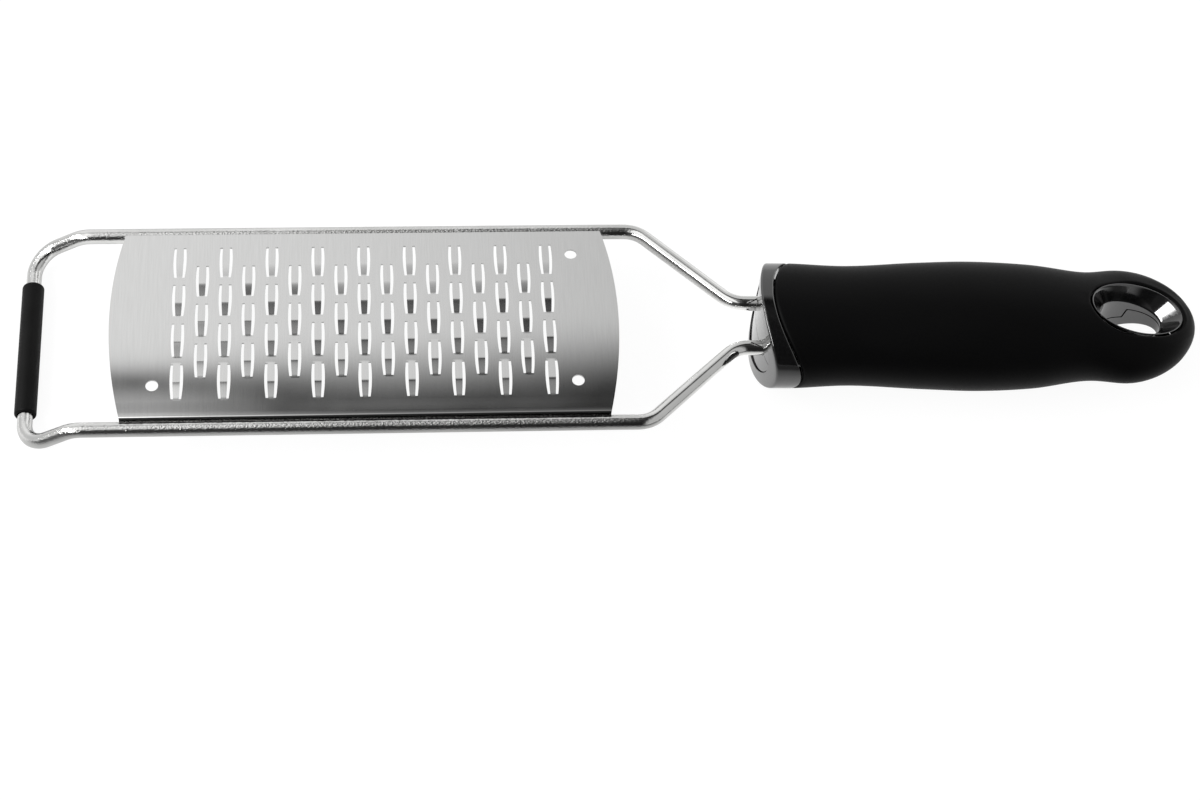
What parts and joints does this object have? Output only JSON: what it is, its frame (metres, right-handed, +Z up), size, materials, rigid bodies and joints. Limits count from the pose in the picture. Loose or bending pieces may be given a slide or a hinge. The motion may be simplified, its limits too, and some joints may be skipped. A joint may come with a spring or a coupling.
{
  "type": "ribbon grater",
  "caption": "Hand grater with an arched steel blade of raised ribbon teeth in a bent wire frame, a rubber foot sleeve and a soft black handle with a hanging eye.",
  "frame": {"origin": "On the table, under the middle of the grater's overall length and width, as it lies on its foot sleeve and its handle", "axes": "+X from the foot sleeve to the handle's tail, +Y across the blade, +Z up, out of the blade's toothed side"},
  "size_m": [0.3158, 0.0664, 0.0293],
  "materials": {
    "blade_steel": "satin, faint lengthwise grain",
    "wire_steel": "polished",
    "foot_rubber": "matt",
    "gloss_black": "gloss",
    "soft_grip": "matt, soft touch"
  },
  "bodies": {
    "root": {"blade": "blade_steel", "wire_frame": "wire_steel", "foot_sleeve": "foot_rubber", "collar": "gloss_black", "core_upper": "gloss_black", "core_lower": "gloss_black", "grip": "soft_grip"}
  },
  "joints": []
}
